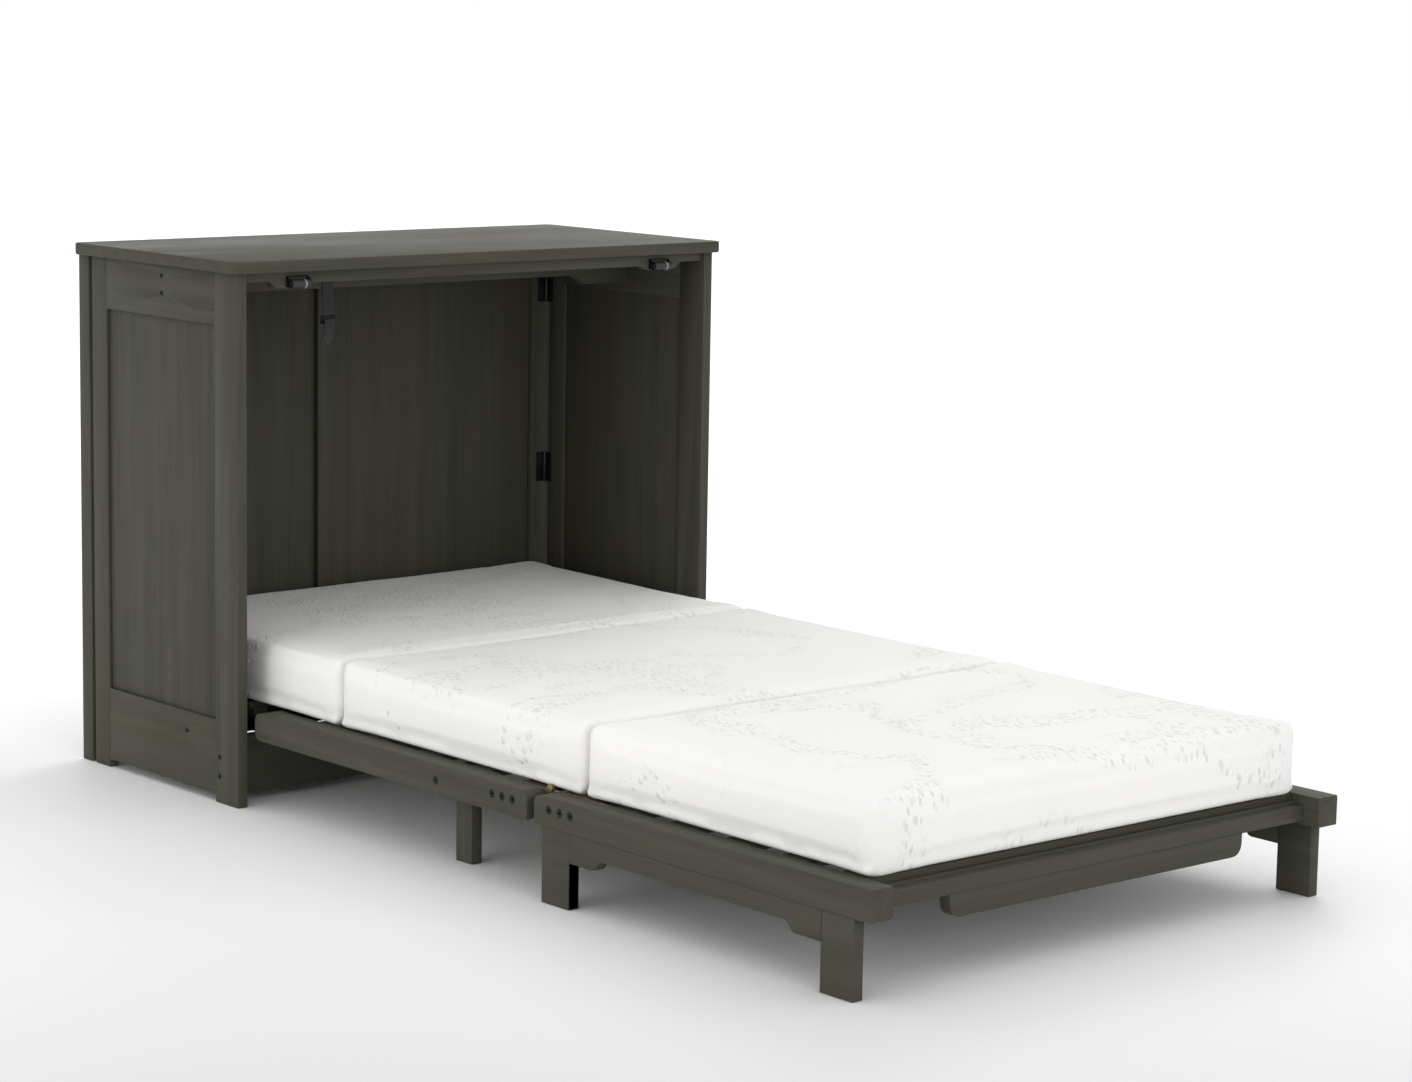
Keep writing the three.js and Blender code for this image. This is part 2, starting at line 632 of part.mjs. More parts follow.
function middleSection() {
  const section = rounded(MIDDLE_END, FRAME_START, RAIL_BOTTOM, RAIL_TOP, [
    RAIL_ROUND / 2,
    RAIL_ROUND,
    RAIL_ROUND,
    RAIL_ROUND,
  ]);
  let rail = prism(section, "x", -RAIL_OUT, -RAIL_IN, 5)
    .subtract(rebate(MIDDLE_END - 1, FOLD_Y + LEAF_LENGTH + 1))
    .subtract(rod("x", PIVOT_Y, PIVOT_Z, PIVOT_PIN + RUN, -RAIL_IN - PIVOT_PIN_REACH - 2, -RAIL_IN + 1, 16));
  rail = rail.add(ledger(FOLD_Y + LEAF_LENGTH + LEDGER_LEAF_GAP, LEDGER_START));
  rail = boltHoles(rail, HINGE_BOLTS.map((d) => FOLD_Y + d), BOLT_Z);
  rail = boltHoles(rail, [PROP_Y], PROP_Z);
  pair("middle_rail", rail);
  const half = PROP_WIDTH / 2 + SLAT_WIDTH / 2;
  const lastSlat = FOLD_Y + FOLD_SLAT;
  const slats = [
    ...spread(MIDDLE_FIRST_SLAT, PROP_Y + half + PROP_FOLD_ROOM, 3),
    ...spread(PROP_Y - half - PROP_GAP, lastSlat, 2),
  ];
  const battenEnd = lastSlat - BATTEN_OVERRUN;
  piece("middle_deck", slatDeck(RAIL_IN - FIT, slats, PIVOT_Y - BATTEN_OVERRUN, battenEnd));
  crossMember("middle_head_bar", PIVOT_Y - HEAD_BAR_BACK - CROSS_MEMBER_THICK);
  crossMember("middle_fold_bar", FOLD_Y + FOLD_BAR_BACK);
}

// A bar on edge under the battens, from rail to rail.
function crossMember(name, y) {
  const across = RAIL_IN - CROSS_MEMBER_INSET;
  const top = SLAT_UNDER - BATTEN_THICK - FIT;
  piece(name, box(-across, across, y, y + CROSS_MEMBER_THICK, RAIL_BOTTOM, top));
}

function footSection() {
  const section = rounded(FRAME_END, FOOT_START, RAIL_BOTTOM, RAIL_TOP, [2, RAIL_ROUND / 2, RAIL_ROUND, 2]);
  let rail = prism(section, "x", -RAIL_OUT, -RAIL_IN, 6)
    .subtract(rebate(FOLD_Y - LEAF_LENGTH - 1, FOOT_START + 1));
  rail = rail.add(ledger(END_RAIL_Y + END_RAIL_THICK + FIT, FOLD_Y - LEAF_LENGTH - LEDGER_LEAF_GAP));
  rail = boltHoles(rail, HINGE_BOLTS.map((d) => FOLD_Y - d), BOLT_Z);
  pair("foot_rail", rail);
  const firstSlat = FOLD_Y - FOLD_SLAT;
  const slats = spread(firstSlat, FRAME_END + END_SLAT_INSET, 6);
  const ledgeFront = END_RAIL_Y + END_RAIL_THICK + END_LEDGE;
  piece("foot_deck", slatDeck(RAIL_IN - FIT, slats, firstSlat + BATTEN_OVERRUN, ledgeFront + FIT));
  crossMember("foot_fold_bar", FOLD_Y - FOLD_BAR_BACK - CROSS_MEMBER_THICK);

  // The foot end rail, the ledge behind it and the rounded grip board below it are glued up as one.
  const end = RAIL_IN - FIT;
  const grip = RAIL_IN - HANDLE_INSET;
  const shape = new THREE.Shape();
  const r = HANDLE_ROUND;
  shape.moveTo(END_RAIL_TOP, -end);
  shape.lineTo(END_RAIL_BOTTOM, -end);
  shape.lineTo(END_RAIL_BOTTOM, -grip);
  shape.lineTo(HANDLE_BOTTOM + r, -grip);
  shape.quadraticCurveTo(HANDLE_BOTTOM, -grip, HANDLE_BOTTOM, -grip + r);
  shape.lineTo(HANDLE_BOTTOM, grip - r);
  shape.quadraticCurveTo(HANDLE_BOTTOM, grip, HANDLE_BOTTOM + r, grip);
  shape.lineTo(END_RAIL_BOTTOM, grip);
  shape.lineTo(END_RAIL_BOTTOM, end);
  shape.lineTo(END_RAIL_TOP, end);
  const ledge = box(
    -LEDGER_IN + FIT,
    LEDGER_IN - FIT,
    END_RAIL_Y + END_RAIL_THICK - 1,
    ledgeFront,
    END_RAIL_BOTTOM,
    LEDGER_TOP,
  );
  piece("foot_end_rail", prism(shape, "y", END_RAIL_Y, END_RAIL_Y + END_RAIL_THICK, 6).add(ledge));
}

// ---- fold hinges: two flat leaves on each side, turning on one pin ----
function foldHinges() {
  const top = RAIL_TOP - FIT;
  const low = RAIL_TOP - LEAF_DEPTH;
  const outerX = -RAIL_IN - REBATE + FIT;
  const innerX = outerX + LEAF_THICK + FIT;
  const leaf = (x, side) => {
    const near = FOLD_Y + side * 2;
    const far = FOLD_Y + side * LEAF_LENGTH;
    let plate = box(x, x + LEAF_THICK, Math.min(near, far), Math.max(near, far), low, top);
    plate = plate.add(rod("x", FOLD_Y, FOLD_Z, LEAF_LUG, x, x + LEAF_THICK, 16));
    for (const d of HINGE_BOLTS) {
      plate = plate.subtract(rod("x", FOLD_Y + side * d, BOLT_Z, BOLT_HOLE, x - 1, x + LEAF_THICK + 1, 8));
    }
    return plate;
  };
  const middleLeaf = leaf(outerX, 1)
    .add(rod("x", FOLD_Y, FOLD_Z, LEAF_PIN, outerX, innerX + LEAF_THICK + 1, 12));
  const footLeaf = leaf(innerX, -1)
    .subtract(rod("x", FOLD_Y, FOLD_Z, LEAF_PIN + RUN / 2, innerX - 1, innerX + LEAF_THICK + 1, 12));
  pair("middle_hinge_leaf", middleLeaf, "brass");
  pair("foot_hinge_leaf", footLeaf, "brass");
}

// ---- side boards with the two legs of the foot section, one on each side ----
function legBoards() {
  const top = RAIL_BOTTOM - FIT;
  const y0 = FRAME_END + LEG_INSET;
  const y1 = y0 + LEG_WIDTH;
  const y3 = FOOT_START - LEG_FOLD_INSET;
  const y2 = y3 - LEG_WIDTH;
  const bracket = RAIL_BOTTOM - BRACKET_DROP;
  const apron = RAIL_BOTTOM - SIDE_APRON_DROP;
  const curve = (shape, ya, za, yb, zb) =>
    shape.bezierCurveTo((ya + yb) / 2, za, (ya + yb) / 2, zb, yb, zb);
  const shape = new THREE.Shape();
  shape.moveTo(y0, top);
  shape.lineTo(y0, 0);
  shape.lineTo(y1, 0);
  shape.lineTo(y1, bracket);
  shape.lineTo(y1 + BRACKET_LENGTH, bracket);
  curve(shape, y1 + BRACKET_LENGTH, bracket, y1 + BRACKET_LENGTH + BRACKET_CURVE, apron);
  shape.lineTo(y2 - BRACKET_LENGTH - BRACKET_CURVE, apron);
  curve(shape, y2 - BRACKET_LENGTH - BRACKET_CURVE, apron, y2 - BRACKET_LENGTH, bracket);
  shape.lineTo(y2, bracket);
  shape.lineTo(y2, 0);
  shape.lineTo(y3, 0);
  shape.lineTo(y3, top);
  pair("leg_board", prism(shape, "x", -RAIL_OUT, -RAIL_OUT + LEG_THICK, 8));
}

// ---- prop legs of the middle section: they swing up under the deck ----
function propLegs() {
  const outer = -LEDGER_IN + PROP_SIDE_GAP;
  const inner = outer + PROP_THICK;
  const half = PROP_WIDTH / 2;
  const shape = new THREE.Shape();
  shape.moveTo(PROP_Y - half, 0);
  shape.lineTo(PROP_Y + half, 0);
  shape.lineTo(PROP_Y + half, PROP_Z);
  shape.absarc(PROP_Y, PROP_Z, half, 0, Math.PI);
  const bumper = new THREE.CylinderGeometry(BUMPER_RADIUS * 0.7, BUMPER_RADIUS, BUMPER_STAND, 16);
  bumper.translate(0, BUMPER_STAND / 2 - 0.2, 0);
  bumper.translate((outer + inner) / 2, PROP_Y + half, PROP_Z - BUMPER_BELOW);
  const top = SLAT_TOP - PROP_TOP_GAP;
  const overTop = box(outer - 1, inner + 1, PROP_Y - half - 1, PROP_Y + half + 1, top, PROP_Z + PROP_WIDTH);
  const leg = prism(shape, "x", outer, inner, 10)
    .subtract(overTop)
    .subtract(rod("x", PROP_Y, PROP_Z, PROP_PIN + RUN, outer - 1, inner + 1, 20))
    .add(solid(bumper));
  pair("prop_leg", leg);
  // The pivot bolt runs from its sunk head in the rail through the ledger and the leg to a nut.
  const head = -RAIL_OUT + 1;
  const bolt = rod("x", PROP_Y, PROP_Z, PROP_PIN - FIT, head, inner + 2, 16)
    .add(rod("x", PROP_Y, PROP_Z, BOLT_SINK_RADIUS - 1, head, -RAIL_OUT + BOLT_SINK - FIT, 16))
    .add(rod("x", PROP_Y, PROP_Z, BOLT_SINK_RADIUS, inner + RUN, inner + 6, 6));
  pair("prop_bolt", bolt, "steel");
}

// ---- pivot brackets: steel plates on the head bearers that carry the frame's two pivot pins ----
function pivotBrackets() {
  const outer = -RAIL_IN + 1;
  const bearerFace = -HEAD_BEARER_X - HEAD_BEARER_THICK / 2;
  const footRear = TOE_Y + PIVOT_FOOT_LENGTH;
  const plateTop = TOE_TOP + PIVOT_PLATE_HEIGHT;
  const plate = outline([
    [PIVOT_Y - 12, PIVOT_Z - 8],
    [PIVOT_Y - 12, PIVOT_Z + 8],
    [PIVOT_Y - 7, PIVOT_Z + 13],
    [PIVOT_Y + 12, PIVOT_Z + 13],
    [PIVOT_Y + 30, plateTop],
    [footRear, plateTop],
    [footRear, TOE_TOP + 2],
    [PIVOT_Y + 4, PIVOT_Z - 15],
  ]);
  const bracket = prism(plate, "x", outer, outer + PIVOT_PLATE)
    .add(rod("x", PIVOT_Y, PIVOT_Z, PIVOT_PIN, -RAIL_IN - PIVOT_PIN_REACH, outer + 1, 16))
    .add(box(outer, bearerFace - FIT, TOE_Y, footRear, TOE_TOP + 6, plateTop - 2));
  pair("pivot_bracket", bracket, "steel");
}

// ---- mattress in three sections ----
function mattress() {
  const z0 = SLAT_TOP + FIT;
  const x = RAIL_IN - MATTRESS_SIDE_GAP;
  const r = MATTRESS_ROUND;
  const head = SIDE_DEPTH - MATTRESS_HEAD_GAP;
  const length = (head - FRAME_END - MATTRESS_FOOT_GAP - 2 * MATTRESS_SEAM) / 3;
  ["head", "middle", "foot"].forEach((name, i) => {
    const y1 = head - i * (length + MATTRESS_SEAM);
    const section = rounded(z0, z0 + MATTRESS_THICK, -x, x, [r, r, r, r]);
    piece(`mattress_${name}`, prism(section, "y", y1 - length, y1, 4), "ticking");
  });
}

// ---- webbing strap and its buckle, hung from the cross rail ----
function strap() {
  const front = CROSS_RAIL_Y - FIT;
  const x0 = STRAP_X - STRAP_WIDTH / 2;
  const x1 = STRAP_X + STRAP_WIDTH / 2;
  const hem = SLAB_UNDER - CROSS_RAIL_DROP + STRAP_HEM;
  piece("strap", box(x0, x1, front - STRAP_THICK, front, STRAP_BOTTOM + 3, hem), "webbing");
  const frameY = front - STRAP_THICK / 2;
  const barX = STRAP_WIDTH / 2 + BUCKLE_SIDE;
  const frame = box(
    STRAP_X - barX,
    STRAP_X + barX,
    frameY - 3,
    frameY + 3,
    STRAP_BOTTOM - BUCKLE_BAR,
    STRAP_BOTTOM + 2.5,
  );
  const lever = box(
    x0 + 3,
    x1 - 3,
    frameY - 5.5,
    frameY - 2.5,
    STRAP_BOTTOM - BUCKLE_HEIGHT,
    STRAP_BOTTOM - 1,
  );
  piece("strap_buckle", frame.add(lever), "steel");
}

sidePanels();
backPanel();
buttHinges();
topSlab();
frontApron();
guideRollers();
crossRail();
toeBoard();
headDeck();
middleSection();
footSection();
foldHinges();
legBoards();
propLegs();
pivotBrackets();
mattress();
strap();

const bounds = new THREE.Box3().setFromObject(model);
model.position.y = -(bounds.min.y + bounds.max.y) / 2;

export default model;
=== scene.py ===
import json
import math

import bmesh
import bpy
from mathutils import Matrix, Vector, noise


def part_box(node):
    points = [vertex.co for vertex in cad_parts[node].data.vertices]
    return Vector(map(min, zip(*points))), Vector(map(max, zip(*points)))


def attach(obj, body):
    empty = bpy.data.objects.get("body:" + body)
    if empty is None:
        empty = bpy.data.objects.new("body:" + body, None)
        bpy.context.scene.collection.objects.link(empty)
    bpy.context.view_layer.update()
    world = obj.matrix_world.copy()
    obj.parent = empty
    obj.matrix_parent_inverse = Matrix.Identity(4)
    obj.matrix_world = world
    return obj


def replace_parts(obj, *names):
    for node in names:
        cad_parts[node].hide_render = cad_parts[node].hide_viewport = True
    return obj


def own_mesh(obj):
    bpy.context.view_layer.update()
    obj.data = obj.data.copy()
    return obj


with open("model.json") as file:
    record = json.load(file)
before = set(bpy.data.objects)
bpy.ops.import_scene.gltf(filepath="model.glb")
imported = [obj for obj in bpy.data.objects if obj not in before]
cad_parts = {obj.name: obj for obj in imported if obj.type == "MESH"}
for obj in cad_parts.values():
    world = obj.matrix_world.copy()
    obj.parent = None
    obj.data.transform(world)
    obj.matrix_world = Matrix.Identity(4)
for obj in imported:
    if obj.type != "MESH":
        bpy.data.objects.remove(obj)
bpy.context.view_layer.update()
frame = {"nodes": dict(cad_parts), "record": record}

MM = 0.001

# ---- camera: the photograph's viewing angle ----
CAMERA_PLACE = (-4.086, -4.8045, 1.4857)
CAMERA_AZIMUTH = 40.9  # degrees from +Y towards +X
CAMERA_DIP = 8.79  # degrees below level
CAMERA_ROLL = 0.99  # degrees
CAMERA_LENS = 92.2  # millimetres
SENSOR_WIDTH = 36.0  # millimetres

# ---- floor ----
FLOOR_FADE = 5.0  # metres that it takes the floor's painted light to fade to white
FLOOR_START = 0.45  # the share of the fade already gone under the bed
FLOOR_REACH = 30.0  # metres from its middle to each edge
FLOOR_DROP = 0.5 * MM  # keeps it just under the feet

# ---- rounding of edges ----
EASE = 1.3 * MM  # boards
RAIL_EASE = 2.2 * MM  # the bed's side rails
PANEL_EASE = 0.5 * MM
SLAB_EASE = 0.6 * MM
BRASS_EASE = 0.4 * MM
STEEL_EASE = 0.35 * MM
SMOOTH_ANGLE = math.radians(35.0)  # sharper edges than this stay sharp on a new piece
EASED_SMOOTH_ANGLE = math.radians(50.0)  # the same for a piece with rounded edges
BEVEL_ANGLE = math.radians(30.0)  # sharper edges than this are rounded

# ---- joint lines between boards ----
LEG_WIDTH = 71 * MM
GRIP_HEIGHT = 37 * MM  # grip board's lower edge to the end rail's joint line

# ---- bolts and screws ----
SCREW_RADIUS = 5.6 * MM
HINGE_SCREW_RADIUS = 3.4 * MM
# Bolt heads in each side of the cabinet, as (y, z) in metres.
SIDE_BOLTS = ((0.6075, 0.049), (0.6075, 0.085), (0.7155, 0.116), (0.7935, 0.911), (0.7935, 0.943))
SIDE_BOLT_SINK = 0.6 * MM  # how far the rim of a head lies inside the face
RAIL_BOLT_SINK = 2.4 * MM  # the same, in the rails' bolt sockets
PROP_BOLT_SINK = 0.4 * MM
FOLD_Y = -0.2725  # fold between the middle and foot frames, in metres
HINGE_BOLT_STEPS = (0.048, 0.076, 0.103)  # metres from the fold
HINGE_BOLT_HEIGHT = 0.156  # metres above the floor
LEAF_FACE = 2.3 * MM  # a corner hinge's outer side to the face that its screws lie on
LEAF_SCREW_SETBACK = 6 * MM  # the leaf's front edge to its screws

# ---- rollers and bumpers ----
ROLLER_BORE = 3.5 * MM
ROLLER_SIDES = 40
TYRE_SOFT = 0.8 * MM  # chamfer of the rubber's rims
STRIPE_START = 0.3  # share of the half width between the roller's middle and its stripe
STRIPE_WIDTH = 5 * MM
STRIPE_PROUD = 0.25 * MM  # the stripe stands this much out of the tyre
BUMPER_RADIUS = 8.6 * MM
BUMPER_HEIGHT = 47 * MM  # above the floor
BUMPER_DEPTH = 5.2 * MM  # from the end of the leg's stub to the cap's foot, just inside the leg


# ---- materials ----
def new_material(name, color, roughness, metallic=0.0):
    """A material with its shader, and short calls to add and link nodes to it."""
    material = bpy.data.materials.new(name)
    material.use_nodes = True
    tree = material.node_tree
    shader = tree.nodes["Principled BSDF"]
    shader.inputs["Base Color"].default_value = (*color, 1.0)
    shader.inputs["Roughness"].default_value = roughness
    shader.inputs["Metallic"].default_value = metallic

    def add(kind, **values):
        node = tree.nodes.new("ShaderNode" + kind)
        for key, value in values.items():
            if key in node.inputs:
                node.inputs[key].default_value = value
            else:
                setattr(node, key, value)
        return node

    return material, shader, add, tree.links.new


def placed(add, link, scale, location=(0, 0, 0), rotation=(0, 0, 0)):
    """The piece's own coordinates, in metres, scaled to suit a texture."""
    mapping = add("Mapping", Scale=scale, Location=location, Rotation=rotation)
    link(add("TexCoord").outputs["Object"], mapping.inputs["Vector"])
    return mapping.outputs["Vector"]


def grey(level):
    return (level,) * 3


def ramp(add, link, value, stops):
    """A colour that follows a value through stops of (position, colour)."""
    node = add("ValToRGB")
    elements = node.color_ramp.elements
    for i, (position, color) in enumerate(stops):
        element = elements[i] if i < 2 else elements.new(position)
        element.position = position
        element.color = (*color, 1.0)
    link(value, node.inputs["Fac"])
    return node.outputs["Color"]


def mixed(add, link, factor, a, b, blend="MIX"):
    """Two colours mixed by a factor, each of the three a socket or a plain value."""
    node = add("Mix", data_type="RGBA", blend_type=blend)
    for value, socket in ((factor, node.inputs[0]), (a, node.inputs[6]), (b, node.inputs[7])):
        if isinstance(value, bpy.types.NodeSocket):
            link(value, socket)
        else:
            socket.default_value = value
    return node.outputs[2]


def bump(add, link, shader, height, strength, distance, under=None):
    """Relief on the shader's surface, over an earlier relief where `under` gives one."""
    node = add("Bump", Strength=strength, Distance=distance)
    link(height, node.inputs["Height"])
    if under is not None:
        link(under, node.inputs["Normal"])
    link(node.outputs["Normal"], shader.inputs["Normal"])


STAIN_DARK = (0.052, 0.052, 0.041)
STAIN_MID = (0.066, 0.0655, 0.052)
STAIN_LIGHT = (0.082, 0.081, 0.065)
STAIN_BROWN = (0.086, 0.071, 0.047)


def stained_wood(grain, number):
    """Hardwood under a dark grey-brown stain and satin lacquer, its grain along one axis."""
    material, shader, add, link = new_material(f"stain_{grain}_{number}", STAIN_MID, 0.42)
    shader.inputs["Specular IOR Level"].default_value = 0.04
    axis = "xyz".index(grain)

    def stretched(along, across):
        return tuple(along if i == axis else across for i in range(3))

    shift = (3.7 * number, 1.9 * number, 5.3 * number)
    streaks = add("TexNoise", Scale=1.0, Detail=6.0, Roughness=0.62, Distortion=0.35)
    link(placed(add, link, stretched(1.6, 38.0), shift), streaks.inputs["Vector"])
    fine = add("TexNoise", Scale=1.0, Detail=4.0, Roughness=0.6)
    link(placed(add, link, stretched(7.0, 330.0), shift), fine.inputs["Vector"])
    clouds = add("TexNoise", Scale=1.0, Detail=3.0, Roughness=0.5)
    link(placed(add, link, stretched(2.2, 7.0), shift), clouds.inputs["Vector"])
    stain = ((0.22, STAIN_DARK), (0.5, STAIN_MID), (0.8, STAIN_LIGHT))
    tone = ramp(add, link, streaks.outputs["Fac"], stain)
    brown = ramp(add, link, clouds.outputs["Fac"], ((0.46, grey(0.0)), (0.7, grey(0.42))))
    tone = mixed(add, link, brown, tone, (*STAIN_BROWN, 1.0))
    pores = ramp(add, link, fine.outputs["Fac"], ((0.34, grey(0.76)), (0.56, grey(1.03))))
    tone = mixed(add, link, 0.4, tone, pores, "MULTIPLY")
    link(tone, shader.inputs["Base Color"])
    gloss = ramp(add, link, clouds.outputs["Fac"], ((0.3, grey(0.36)), (0.75, grey(0.5))))
    link(gloss, shader.inputs["Roughness"])
    bump(add, link, shader, fine.outputs["Fac"], 0.16, 0.25 * MM)
    return material


def painted_steel():
    material, shader, add, link = new_material("black_steel", (0.012, 0.012, 0.013), 0.36, 0.55)
    speckle = add("TexNoise", Scale=900.0, Detail=2.0)
    link(placed(add, link, (1, 1, 1)), speckle.inputs["Vector"])
    gloss = ramp(add, link, speckle.outputs["Fac"], ((0.3, grey(0.26)), (0.7, grey(0.46))))
    link(gloss, shader.inputs["Roughness"])
    bump(add, link, shader, speckle.outputs["Fac"], 0.12, 0.1 * MM)
    return material


def dull_brass():
    material, shader, add, link = new_material("dull_brass", (0.30, 0.255, 0.165), 0.34, 1.0)
    brushed = add("TexNoise", Scale=1.0, Detail=4.0)
    link(placed(add, link, (20, 20, 1400)), brushed.inputs["Vector"])
    tarnish = add("TexNoise", Scale=60.0, Detail=4.0)
    link(placed(add, link, (1, 1, 1)), tarnish.inputs["Vector"])
    shades = ((0.35, (0.20, 0.165, 0.10)), (0.65, (0.33, 0.28, 0.18)))
    link(ramp(add, link, tarnish.outputs["Fac"], shades), shader.inputs["Base Color"])
    gloss = ramp(add, link, brushed.outputs["Fac"], ((0.3, grey(0.28)), (0.7, grey(0.5))))
    link(gloss, shader.inputs["Roughness"])
    return material


def rubber(name, color):
    material, shader, add, link = new_material(name, color, 0.5)
    grain = add("TexNoise", Scale=1500.0, Detail=3.0)
    link(placed(add, link, (1, 1, 1)), grain.inputs["Vector"])
    low, high = (tuple(c * k for c in color) for k in (0.8, 1.25))
    link(ramp(add, link, grain.outputs["Fac"], ((0.3, low), (0.7, high))), shader.inputs["Base Color"])
    bump(add, link, shader, grain.outputs["Fac"], 0.2, 0.1 * MM)
    return material


def webbing():
    material, shader, add, link = new_material("black_webbing", (0.016, 0.016, 0.018), 0.8)
    shader.inputs["Sheen Weight"].default_value = 0.3
    ribs = add("TexWave", Scale=1.0, Distortion=0.4, bands_direction="DIAGONAL")
    link(placed(add, link, (700, 700, 350)), ribs.inputs["Vector"])
    threads = ((0.2, (0.010, 0.010, 0.012)), (0.8, (0.030, 0.030, 0.034)))
    link(ramp(add, link, ribs.outputs["Fac"], threads), shader.inputs["Base Color"])
    bump(add, link, shader, ribs.outputs["Fac"], 0.5, 0.4 * MM)
    return material


COVER_WHITE = (0.86, 0.855, 0.84)
# The ticks' darker tint: painted shade of their emboss.
COVER_TICK_PAINTED_SHADE = (0.82, 0.815, 0.80)


def knit_cover(number):
    """White stretch knit: fine ribs, and clusters of small embossed ticks along drifting bands, the ticks
    tinted darker as painted shade.
    """
    material, shader, add, link = new_material(f"knit_cover_{number}", COVER_WHITE, 0.85)
    shader.inputs["Sheen Weight"].default_value = 0.25
    shader.inputs["Sheen Roughness"].default_value = 0.4
    shader.inputs["Subsurface Weight"].default_value = 0.06
    shader.inputs["Subsurface Radius"].default_value = (0.006, 0.005, 0.004)

    ribs = add("TexWave", Scale=1.0, bands_direction="X")
    link(placed(add, link, (300, 300, 0)), ribs.inputs["Vector"])
    knit = add("TexNoise", Scale=520.0, Detail=2.0)
    link(placed(add, link, (1, 1, 0.35)), knit.inputs["Vector"])

    # Ticks are the stretched cells of a Voronoi pattern, kept only where the bands run.
    ticks = add("TexVoronoi", Scale=1.0, Randomness=0.85, feature="SMOOTH_F1", Smoothness=0.12)
    link(placed(add, link, (130, 62, 45), (number, 0, 0)), ticks.inputs["Vector"])
    tick = ramp(add, link, ticks.outputs["Distance"], ((0.16, grey(1.0)), (0.38, grey(0.0))))
    swirl = add("TexNoise", Scale=1.0, Detail=1.0, Distortion=1.1)
    link(placed(add, link, (2.3, 3.1, 2.6), (0.37 * number, 0.8, 0.2)), swirl.inputs["Vector"])
    bands = ((0.44, grey(0.0)), (0.48, grey(1.0)), (0.535, grey(1.0)), (0.575, grey(0.0)))
    band = ramp(add, link, swirl.outputs["Fac"], bands)
    relief_and_painted_shade = mixed(add, link, 1.0, tick, band, "MULTIPLY")
    yarn = add("Bump", Strength=0.35, Distance=0.5 * MM)
    link(mixed(add, link, 0.5, ribs.outputs["Color"], knit.outputs["Color"]), yarn.inputs["Height"])
    bump(add, link, shader, relief_and_painted_shade, 0.9, 2.3 * MM, yarn.outputs["Normal"])
    # Painted shade: the ticks are tinted darker than the white cover.
    tick_painted_shade = mixed(add, link, relief_and_painted_shade, (*COVER_WHITE, 1.0), (*COVER_TICK_PAINTED_SHADE, 1.0))
    warm = add("TexNoise", Scale=3.0, Detail=2.0)
    link(placed(add, link, (1, 1, 1)), warm.inputs["Vector"])
    tints = ((0.35, (0.97, 0.97, 0.975)), (0.65, (1.0, 0.995, 0.98)))
    tint = ramp(add, link, warm.outputs["Fac"], tints)
    link(mixed(add, link, 1.0, tick_painted_shade, tint, "MULTIPLY"), shader.inputs["Base Color"])
    return material


def floor_with_painted_light():
    """A pale floor with painted light: darker towards the camera as painted shade, brightening along the
    camera's azimuth with a painted glow further off, until it meets the white backdrop.
    """
    material, shader, add, link = new_material("floor_painted_light", (0.85, 0.85, 0.855), 0.6)
    depth = add("TexGradient")
    turn = (0, 0, math.radians(CAMERA_AZIMUTH - 90))
    along = placed(add, link, (1 / FLOOR_FADE,) * 3, (FLOOR_START, 0, 0), turn)
    link(along, depth.inputs["Vector"])
    # Painted light: the floor's colour is darker towards the camera and lighter away from it.
    painted_floor_light = ((0.0, (0.60, 0.60, 0.605)), (0.3, (0.88, 0.88, 0.885)), (0.6, (0.97, 0.97, 0.97)))
    link(ramp(add, link, depth.outputs["Fac"], painted_floor_light), shader.inputs["Base Color"])
    # Painted glow: the far floor gives off light though it is no lamp.
    shader.inputs["Emission Color"].default_value = (1.0, 1.0, 1.0, 1.0)
    painted_glow = ramp(add, link, depth.outputs["Fac"], ((0.5, grey(0.0)), (1.0, grey(0.25))))
    link(painted_glow, shader.inputs["Emission Strength"])
    return material


WOODS = {(grain, number): stained_wood(grain, number) for grain in "xyz" for number in range(2)}
STEEL = painted_steel()
BRASS = dull_brass()
BLACK_RUBBER = rubber("black_rubber", (0.014, 0.014, 0.015))
PALE_RUBBER = rubber("pale_stripe", (0.20, 0.20, 0.20))
WEBBING = webbing()
COVERS = [knit_cover(number) for number in range(3)]


# ---- mesh helpers ----
def new_piece(name, bm, body, material):
    """A mesh piece that rides on a body, from a bmesh in the row frame."""
    bmesh.ops.recalc_face_normals(bm, faces=bm.faces)
    mesh = bpy.data.meshes.new(name)
    bm.to_mesh(mesh)
    bm.free()
    obj = bpy.data.objects.new(name, mesh)
    bpy.context.scene.collection.objects.link(obj)
    mesh.materials.append(material)
    mesh.shade_smooth()
    mesh.set_sharp_from_angle(angle=SMOOTH_ANGLE)
    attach(obj, body)
    return obj


def node_bmesh(node):
    """A CAD node's solid as a welded bmesh with its flat faces whole."""
    bm = bmesh.new()
    bm.from_mesh(frame["nodes"][node].data)
    bmesh.ops.remove_doubles(bm, verts=bm.verts, dist=0.02 * MM)
    flat = math.radians(1.0)
    bmesh.ops.dissolve_limit(bm, angle_limit=flat, verts=bm.verts, edges=bm.edges)
    return bm


